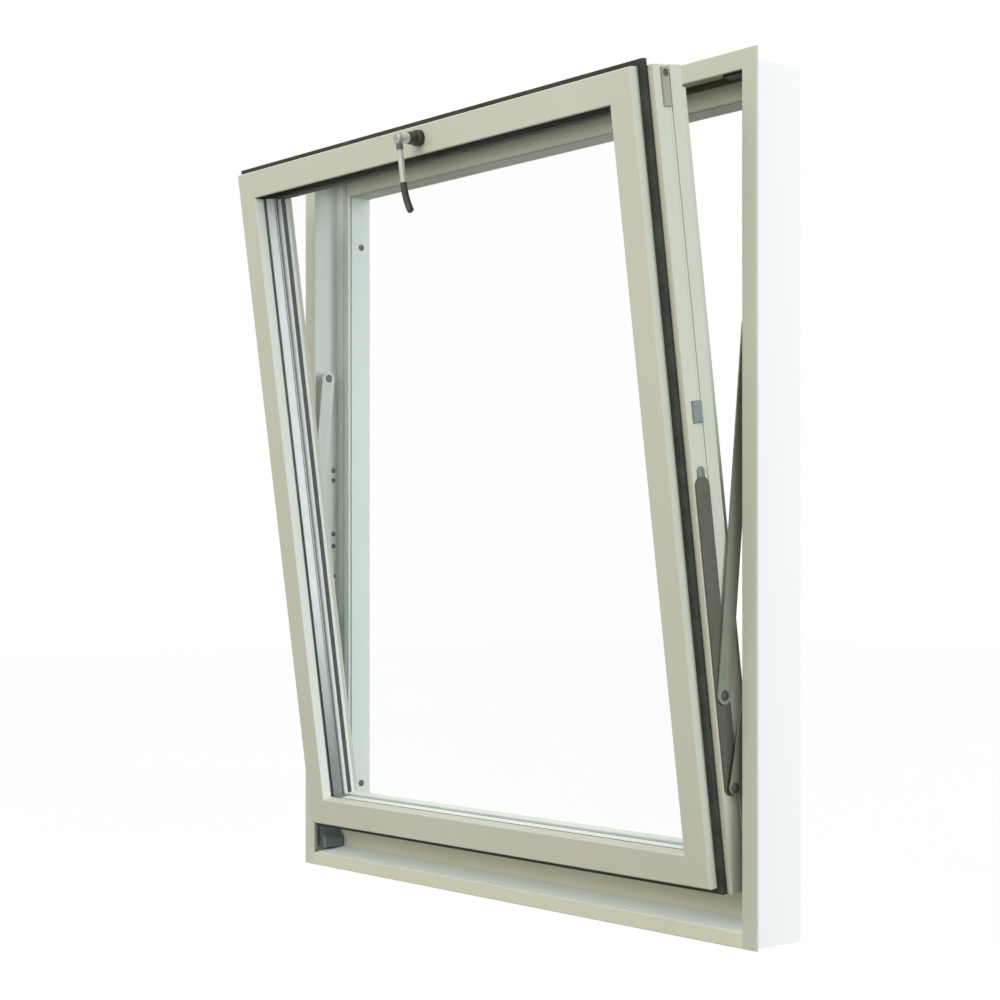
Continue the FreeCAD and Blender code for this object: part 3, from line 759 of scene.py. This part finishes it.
@dataclass
class SashTrim:
    """Small pieces on the sash: rubbers, sealing line, black sheets of painted shade under the top rail,
    rivets, end blocks, liners, pale sheets of painted light on the lips, screws and cams.
    """

    pose: SashPose
    sight: float = 0.045
    pane_back: float = 0.0442
    top_back: float = 0.0620
    wedge: Pair = (0.0505, 0.0580)
    wedge_proud: float = 0.0012
    wedge_tuck: float = 0.0004
    wedge_inset: float = 0.002
    spacer_edge: float = 0.044
    butyl: Pair = (0.0366, 0.0386)
    butyl_tuck: float = 0.0003
    butyl_proud: Pair = (0.0004, 0.0006)
    lip_edge: float = 0.043
    lip_depth: float = 0.0155
    # Pale sheet of painted light on the lip's sloping inner side: thickness, front edge and inset.
    painted_light_thickness: float = 0.0004
    painted_light_front: Pair = (0.0006, 0.0016)
    painted_light_inset: float = 0.0010
    # Black sheet of painted shade under the top rail's lip: thickness, front edge, lap behind the lip and
    # tuck; then the depth span and edge of the black strip of painted shade on the spacer's upper run.
    painted_shade: float = 0.0008
    painted_shade_front: float = 0.0016
    painted_shade_lap: float = 0.0024
    painted_shade_tuck: Pair = (0.0002, 0.0004)
    painted_shade_strip: Pair = (0.0224, 0.0396)
    painted_shade_strip_edge: float = 0.0002
    bar_face: float = 0.4925
    bar_back: float = 0.0395
    lock_back: float = 0.044
    long_arm_outer: float = 0.4955
    short_arm_outer: float = 0.4985
    long_pivot: float = 0.258
    short_pivot: float = 0.133
    washer: tuple[Pair, ...] = ((0.0075, 0.0), (0.0075, 0.0002), (0.0070, 0.00034), (0.0040, 0.00034))
    long_head: Pair = (0.0044, 0.0012)
    short_head: Pair = (0.0072, 0.0018)
    bar_top: float = 0.551
    block_lap: float = 0.0040
    block_length: float = 0.0135
    block_half: float = 0.0062
    block_thickness: float = 0.0022
    block_cut: float = 0.004
    block_edge: float = 0.0006
    groove: Pair = (0.0472, 0.0538)
    groove_depth: float = 0.0040
    liner_thickness: float = 0.0032
    liner_inset: float = 0.0012
    liner_span: Pair = (0.015, 1.060)
    lock_level: float = 0.636
    lock_pitch: float = 0.009
    lock_head: Pair = (0.0030, 0.0003)
    plate_top: float = 1.0855
    cam_drop: float = 0.008
    cam_head: Pair = (0.0050, 0.0004)

    def glazing_rubber(self) -> None:
        """Crowned black strips on the beads, up both sides and along the top."""
        piece = PieceMesh("bead_rubber")
        half, low, high = self.pose.width / 2.0 - self.sight, self.sight, self.pose.height - self.sight
        t = self.wedge_proud
        crown = (-self.wedge_tuck, 0.6 * t, t, self.wedge_inset)
        sash = self.pose.matrix()
        for side, _ in SIDES:
            piece.prism(crowned(*self.wedge, *crown), low, high, sash @ upright(side * half, -side))
        axes = sash @ laid(BACK, DOWN, RIGHT, (0.0, 0.0, high))
        piece.prism(crowned(self.pane_back, self.top_back, *crown), -half + t, half - t, axes)
        piece.finish(Body.SASH, Slot.SEAL, SEAL)

    def butyl_line(self) -> None:
        """Grey sealing line where the spacer meets the outer pane."""
        piece = PieceMesh("butyl_line")
        front, back = self.butyl
        seat, edge = self.spacer_edge - self.butyl_tuck, self.spacer_edge + self.butyl_proud[0]
        crown = self.spacer_edge + self.butyl_proud[1]
        section = [(seat, front), (edge, front), (crown, (front + back) / 2.0), (edge, back), (seat, back)]
        piece.ring(section, self.pose.width / 2.0, 0.0, self.pose.height, self.pose.matrix())
        piece.finish(Body.SASH, Slot.SEAL, BUTYL)

    def top_painted_shade(self) -> None:
        """Black sheet of painted shade under the top rail's lip and a black strip of painted shade along the
        spacer's upper run.
        """
        piece = PieceMesh("top_rail_painted_shade")
        top, half = self.pose.height, self.pose.width / 2.0 - self.sight
        axes = self.pose.matrix() @ laid(BACK, UP, RIGHT)
        lip, sight, t = top - self.lip_edge, top - self.sight, self.painted_shade
        front, deep, back = self.painted_shade_front, self.lip_depth, self.lip_depth + self.painted_shade_lap
        tuck, lap = self.painted_shade_tuck
        piece.prism([(front, lip - t), (deep, sight - t), (back, sight - t), (back, sight + lap),
                     (deep, sight + tuck), (front, lip + tuck)], -half, half, axes)
        start, stop = self.painted_shade_strip
        under = top - self.spacer_edge
        piece.prism([(start, under - t), (stop, under - t), (stop, under + tuck), (start, under + tuck)],
                    -half, half, axes, self.painted_shade_strip_edge)
        piece.finish(Body.SASH, Slot.SEAL, PAINTED_SHADE_RUBBER)

    def rivets(self, side: float, name: str) -> None:
        """Dark rivet heads on the stays' lower pivots."""
        piece = PieceMesh(name)
        place = self.pose.on_side(side, self.long_arm_outer, self.long_pivot, self.bar_back)
        piece.turned(self.washer, place)
        piece.turned(Head.ROUND.profile(*self.long_head), place)
        place = self.pose.on_side(side, self.short_arm_outer, self.short_pivot, self.bar_back)
        piece.turned(Head.ROUND.profile(*self.short_head), place)
        piece.finish(Body.SASH, Slot.STAY, RIVET_STEEL)

    def end_block(self, side: float, name: str) -> None:
        """Grey end block above the sash bar."""
        piece = PieceMesh(name)
        high, half, cut = self.bar_top + self.block_length, self.block_half, self.block_cut
        place = (side * self.pose.side, self.bar_back, 0.0)
        axes = self.pose.matrix() @ laid(BACK, UP, (side, 0.0, 0.0), place)
        section = crowned(-half, half, self.bar_top - self.block_lap, high - cut, high, cut)
        piece.prism(section, 0.0, self.block_thickness, axes, self.block_edge)
        piece.finish(Body.SASH, Slot.LOCK, BLOCK_STEEL)

    def lip_painted_light(self, side: float, name: str) -> None:
        """Thin pale sheet of painted light along the sloping inner side of the stile's lip."""
        piece = PieceMesh(name)
        deep, t, rise = self.lip_depth, self.painted_light_thickness, self.sight - self.lip_edge
        front, crown = self.painted_light_front
        section = [(front, -t), (deep, rise - t), (deep, rise + 0.3 * t), (deep - self.painted_light_inset, rise + t),
                   (crown, 0.1 * rise + t), (front, 0.3 * t)]
        axes = self.pose.matrix() @ upright(side * (self.pose.width / 2.0 - self.lip_edge), -side)
        # Stops below the black sheet of painted shade under the top rail.
        piece.prism(section, self.lip_edge, self.pose.height - self.lip_edge - self.painted_shade, axes)
        piece.finish(Body.SASH, Slot.SASH_COAT, PAINTED_LIGHT_BEAD_COAT)

    def groove_liner(self, side: float, name: str) -> None:
        """Crowned filler strip in the stile's hardware groove."""
        piece = PieceMesh(name)
        t = self.liner_thickness
        axes = self.pose.matrix() @ upright(side * (self.pose.side - self.groove_depth), side)
        piece.prism(crowned(*self.groove, 0.0, 0.8 * t, t, self.liner_inset), *self.liner_span, axes)
        piece.finish(Body.SASH, Slot.SASH_COAT, SASH_COAT)

    def lock_screws(self, side: float, name: str) -> None:
        """Screw heads of the lock block."""
        piece = PieceMesh(name)
        for up in (self.lock_level + self.lock_pitch, self.lock_level - self.lock_pitch):
            place = self.pose.on_side(side, self.bar_face, up, self.lock_back)
            piece.turned(Head.ROUND.profile(*self.lock_head), place)
        piece.finish(Body.SASH, Slot.LOCK, LOCK_ZINC)

    def cam(self, side: float, name: str) -> None:
        """Dark cam at the top of the corner plate."""
        piece = PieceMesh(name)
        place = self.pose.on_side(side, self.bar_face, self.plate_top - self.cam_drop, self.lock_back)
        piece.turned(Head.ROUND.profile(*self.cam_head), place)
        piece.finish(Body.SASH, Slot.PLASTIC, RIVET_STEEL)

    def build(self) -> None:
        """Makes every piece on both sides."""
        self.glazing_rubber()
        self.butyl_line()
        self.top_painted_shade()
        for side, word in SIDES:
            self.rivets(side, word + "_sash_rivets")
            self.end_block(side, word + "_bar_end_block")
            self.groove_liner(side, word + "_groove_liner")
            self.lip_painted_light(side, word + "_lip_painted_light")
            self.lock_screws(side, word + "_lock_screws")
            self.cam(side, word + "_plate_cam")


@dataclass
class HandleTrim:
    """Pieces on the lever: grip sleeve, neck collar, hub collar and hub cap."""

    pose: SashPose
    offset: float = 0.021
    drop: float = 0.0185
    lever_back: float = -0.0343
    lever_front: float = -0.0413
    half_width: float = 0.004
    straight: float = 0.068
    bend_radius: float = 0.080
    bend: float = math.radians(26.0)
    sleeve_from: float = 0.064
    collar: Pair = (0.0085, 0.0170)
    hub_front: float = -0.0433
    hub_radius: float = 0.008
    hub_seat: float = 0.0004
    rose_front: float = -0.0103
    rose_collar: float = 0.013
    rose_proud: float = 0.0016
    cap_depth: float = 0.007
    cap_dome: tuple[Pair, ...] = ((1.0, -0.0016), (0.9, -0.0007), (0.7, -0.0001), (0.3, 0.0004))
    skin: float = 0.0006
    tuck: float = 0.0002
    lead: float = 0.001
    tip: Pair = (0.0006, 0.0008)
    tip_tuck: float = 0.0012
    corner: float = 0.0018
    corner_steps: int = 4
    steps: int = 18

    def path(self, along: float) -> tuple[Vector, float]:
        """Place across and up from the hub on the lever's middle line, and the lever's turn there."""
        if along <= self.straight:
            return Vector((0.0, -along)), 0.0
        turn = (along - self.straight) / self.bend_radius
        across = self.bend_radius * (1.0 - math.cos(turn))
        return Vector((across, -self.straight - self.bend_radius * math.sin(turn))), turn

    def section(self, grow: float) -> list[Pair]:
        """Across and deep pairs round a sleeve that lies outside the lever's skin by a distance."""
        wide = self.half_width + grow
        deep = (self.lever_back - self.lever_front) / 2.0 + grow
        middle = (self.lever_back + self.lever_front) / 2.0
        round_off = min(self.corner + grow, wide, deep)
        points = []
        for quarter, (sx, sy) in enumerate(((1, 1), (-1, 1), (-1, -1), (1, -1))):
            for i in range(self.corner_steps + 1):
                a = math.pi / 2.0 * (quarter + i / self.corner_steps)
                points.append((sx * (wide - round_off) + round_off * math.cos(a),
                               middle + sy * (deep - round_off) + round_off * math.sin(a)))
        return points

    def sweep(self, piece: PieceMesh, rows: Sequence[Pair]) -> None:
        """Skins a run of sections along the lever.

        Args:
            piece: Piece to add the faces to.
            rows: Distance from the hub and distance outside the lever's skin, from the top down.
        """
        place = self.pose.matrix()
        up = self.pose.height - self.drop
        rings = []
        for along, grow in rows:
            spot, turn = self.path(along)
            rings.append([
                place @ Vector((self.offset + spot.x + wide * math.cos(turn), deep,
                                up + spot.y + wide * math.sin(turn)))
                for wide, deep in self.section(grow)
            ])
        piece.loft(rings)

    def sleeve(self) -> None:
        """Grip sleeve from above the bend to the tip."""
        piece = PieceMesh("lever_grip_sleeve")
        start, skin, lead = self.sleeve_from, self.skin, self.lead
        end = self.straight + self.bend * self.bend_radius + self.half_width
        rows = [(start, -self.tuck), (start, 0.6 * skin), (start + lead, skin)]
        run = end - start - lead
        rows += [(start + lead + run * i / self.steps, skin) for i in range(1, self.steps + 1)]
        rows += [(end + self.tip[0], 0.3 * skin), (end + self.tip[1], -self.tip_tuck)]
        self.sweep(piece, rows)
        piece.finish(Body.HANDLE, Slot.PLASTIC, DARK_PLASTIC)

    def neck(self) -> None:
        """Collar where the lever leaves the hub."""
        piece = PieceMesh("lever_neck_collar")
        start, stop = self.collar
        skin, tuck = self.skin, self.tuck
        rows = [(start, -tuck), (start, skin), (stop - self.lead, skin), (stop, 0.4 * skin), (stop, -tuck)]
        self.sweep(piece, rows)
        piece.finish(Body.HANDLE, Slot.PLASTIC, NECK_PLASTIC)

    def on_axis(self, back: float) -> Matrix:
        """Axes on the hub's middle line, local Z pointing into the room."""
        place = self.pose.matrix() @ Matrix.Translation((self.offset, back, self.pose.height - self.drop))
        return place @ Matrix.Rotation(math.pi / 2.0, 4, "X")

    def foot(self) -> None:
        """Dark collar on the hub where it leaves the rose."""
        piece = PieceMesh("lever_hub_collar")
        radius, length, proud = self.hub_radius, self.rose_collar, self.rose_proud
        seat = radius - self.hub_seat
        piece.turned([(seat, 0.0), (radius + proud, 0.0), (radius + proud, 0.6 * length),
                      (radius + proud / 2.0, 0.9 * length), (seat, length)], self.on_axis(self.rose_front))
        piece.finish(Body.HANDLE, Slot.PLASTIC, DARK_PLASTIC)

    def cap(self) -> None:
        """Cap on the front of the hub."""
        piece = PieceMesh("lever_hub_cap")
        radius = self.hub_radius + self.skin
        profile = [(self.hub_radius - self.hub_seat, -self.cap_depth), (radius, -self.cap_depth)]
        profile += [(share * radius, height) for share, height in self.cap_dome]
        piece.turned(profile, self.on_axis(self.hub_front))
        piece.finish(Body.HANDLE, Slot.PLASTIC, HUB_PLASTIC)

    def build(self) -> None:
        """Makes every piece."""
        self.sleeve()
        self.neck()
        self.foot()
        self.cap()


@dataclass(frozen=True)
class Lamp:
    """Soft square lamp: where it stands, the point it faces, its side in metres, its watts and its colour."""

    name: str
    place: Triple
    target: Triple
    size: float
    power: float
    colour: Colour


COOL: Colour = (0.78, 0.92, 1.0)
WARM: Colour = (1.0, 0.98, 0.90)
LAMPS = (
    Lamp("side_lamp", (8.0, 2.1, 1.5), (0.0, 0.0, 0.6), 3.6, 335.0, COOL),
    Lamp("room_lamp", (0.6, -3.0, 2.3), (0.0, 0.0, 0.5), 2.0, 47.5, WARM),
    Lamp("sill_lamp", (-1.1, -2.5, 0.35), (0.0, 0.0, 0.06), 1.0, 5.0, WARM),
)


@dataclass
class Studio:
    """Camera, lamps, floor and white surroundings."""

    camera_place: Triple = (2.3798, -1.9674, 0.4990)
    heading: float = math.radians(50.49)
    pitch: float = math.radians(0.126)
    focal_pixels: float = 2023.6
    picture_pixels: float = 1000.0
    sensor: float = 36.0
    rise_pixels: float = 65.1
    view_end: float = 60.0
    floor_drop: float = 0.30
    floor_size: float = 30.0
    floor_glow: float = 0.9
    floor_tones: tuple[Colour, Colour] = ((0.90, 0.90, 0.89), (0.96, 0.96, 0.95))
    floor_bounce: Colour = (0.16, 0.16, 0.15)
    sky: float = 0.95
    sky_colour: Colour = (0.96, 1.0, 1.0)

    def camera(self) -> None:
        """Stands the camera to the right of the window, level with its middle."""
        data = bpy.data.cameras.new("camera")
        data.sensor_width = self.sensor
        data.lens = self.focal_pixels * self.sensor / self.picture_pixels
        data.shift_y = self.rise_pixels / self.picture_pixels
        data.clip_end = self.view_end
        forward = Vector((
            -math.sin(self.heading) * math.cos(self.pitch),
            math.cos(self.heading) * math.cos(self.pitch),
            math.sin(self.pitch),
        ))
        camera = bpy.data.objects.new("camera", data)
        camera.location = self.camera_place
        camera.rotation_mode = "QUATERNION"
        camera.rotation_quaternion = forward.to_track_quat("-Z", "Y")
        bpy.context.scene.collection.objects.link(camera)
        bpy.context.scene.camera = camera

    def light(self, lamp: Lamp) -> None:
        """Hangs a lamp that the camera doesn't see."""
        data = bpy.data.lights.new(lamp.name, "AREA")
        data.size = lamp.size
        data.energy = lamp.power
        data.color = lamp.colour
        light = bpy.data.objects.new(lamp.name, data)
        light.location = lamp.place
        light.rotation_mode = "QUATERNION"
        light.rotation_quaternion = (Vector(lamp.target) - Vector(lamp.place)).to_track_quat("-Z", "Y")
        light.visible_camera = False
        bpy.context.scene.collection.objects.link(light)

    def seen(self, tree: Tree) -> Socket:
        """Factor that is 1 for rays from the camera, from reflections and through glass."""
        path = tree.nodes.new("ShaderNodeLightPath")
        factor = path.outputs["Is Camera Ray"]
        for name in ("Is Transmission Ray", "Is Glossy Ray"):
            either = tree.nodes.new("ShaderNodeMath")
            either.operation = "MAXIMUM"
            tree.links.new(factor, either.inputs[0])
            tree.links.new(path.outputs[name], either.inputs[1])
            factor = either.outputs[0]
        return factor

    def choose(self, tree: Tree, factor: Socket | float, first: Socket, second: Socket) -> Socket:
        """Mixes two shaders, where a factor of 0 gives the first and 1 the second."""
        mix = tree.nodes.new("ShaderNodeMixShader")
        if isinstance(factor, float):
            mix.inputs[0].default_value = factor
        else:
            tree.links.new(factor, mix.inputs[0])
        tree.links.new(first, mix.inputs[1])
        tree.links.new(second, mix.inputs[2])
        return mix.outputs[0]

    def world(self) -> None:
        """Even sky light, white where it is seen."""
        world = bpy.data.worlds.new("studio")
        bpy.context.scene.world = world
        world.use_nodes = True
        tree = world.node_tree
        tree.nodes.clear()
        shaders = []
        for colour, strength in ((self.sky_colour, self.sky), ((1.0, 1.0, 1.0), 1.0)):
            background = tree.nodes.new("ShaderNodeBackground")
            background.inputs["Color"].default_value = (*colour, 1.0)
            background.inputs["Strength"].default_value = strength
            shaders.append(background.outputs[0])
        output = tree.nodes.new("ShaderNodeOutputWorld")
        tree.links.new(self.choose(tree, self.seen(tree), *shaders), output.inputs["Surface"])

    def floor(self) -> None:
        """Pale floor below the window, near white where it is seen and dull where it only bounces light."""
        low = CAD_BOX[0].z - self.floor_drop
        half = self.floor_size / 2.0
        corners = [(-half, -half, low), (half, -half, low), (half, half, low), (-half, half, low)]
        mesh = bpy.data.meshes.new("floor")
        mesh.from_pydata(corners, [], [(0, 1, 2, 3)])
        floor = bpy.data.objects.new("floor", mesh)
        bpy.context.scene.collection.objects.link(floor)
        graph = NodeGraph("pale_floor")
        tree = graph.tree
        tone = graph.noise(0.6, 2.0)
        graph.feed("Base Color", graph.mix(graph.spread(tone, 0.0, 1.0), *self.floor_tones))
        graph.fix(Roughness=0.9, Specular_IOR_Level=0.1)
        glow = graph.add("ShaderNodeEmission")
        glow.inputs["Strength"].default_value = 1.0
        dull = graph.add("ShaderNodeBsdfDiffuse")
        dull.inputs["Color"].default_value = (*self.floor_bounce, 1.0)
        pale = self.choose(tree, self.floor_glow, graph.shader.outputs[0], glow.outputs[0])
        graph.link(self.choose(tree, self.seen(tree), dull.outputs[0], pale), graph.output.inputs["Surface"])
        mesh.materials.append(graph.material)

    def build(self) -> None:
        """Sets up the whole studio."""
        bpy.context.scene.view_settings.view_transform = "Standard"
        self.camera()
        self.world()
        self.floor()
        for lamp in LAMPS:
            self.light(lamp)


def main() -> None:
    """Dresses the window and sets up the studio."""
    logging.basicConfig(level=logging.INFO, format="%(message)s")
    names = sorted(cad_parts)

    def starting(*heads: str) -> tuple[str, ...]:
        """Nodes whose names start with one of the heads."""
        return tuple(n for n in names if n.startswith(heads))

    def ending(*tails: str) -> tuple[str, ...]:
        """Nodes whose names end with one of the tails."""
        return tuple(n for n in names if n.endswith(tails))

    seals = starting("stop_seal", "sash_seal") + ending("glazing_seal")
    sash = tuple(n for n in starting("sash_", "glazing_bead") if n not in seals)
    for finish, nodes in (
        (FRAME_COAT, starting("frame_")),
        (SASH_COAT, sash),
        (SEAL, seals),
        (STAY_STEEL, ending("long_arm", "short_arm")),
        (LOCK_ZINC, ending("lock_block")),
        (SPACER, ("glazing_spacer",)),
        (LEVER, ("handle_lever",)),
        (DARK_PLASTIC, ending("head_keeper") + ("handle_rose",)),
        (GLASS, ("inner_pane", "outer_pane")),
        (TRACK_COAT, ending("stay_track")),
        (BAR_STEEL, ending("sash_bar")),
        (PLATE_STEEL, ending("corner_plate")),
        (GREY_SEAL, ("stop_seal_left", "stop_seal_right", "stop_seal_sill")),
        (PALE_SEAL, ("outer_glazing_seal",)),
        (LINE_SEAL, ("inner_glazing_seal",)),
        (SILL_COAT, ("frame_sill",)),
        # Left jamb: the lighter copy of the frame coat, painted light.
        (PAINTED_LIGHT_JAMB_COAT, ("frame_left_jamb",)),
        # Glazing beads take the paler coat, painted light.
        (PAINTED_LIGHT_BEAD_COAT, starting("glazing_bead")),
        (HEAD_SEAL, ("stop_seal_head",)),
        # Left long arm: the lighter copy of the stay steel, painted light.
        (LIT_STEEL, ("left_long_arm",)),
    ):
        dress(finish, nodes)
    FrameHardware().build()
    SashTrim(SashPose()).build()
    HandleTrim(SashPose()).build()
    Studio().build()


if __name__ == "__main__":
    main()
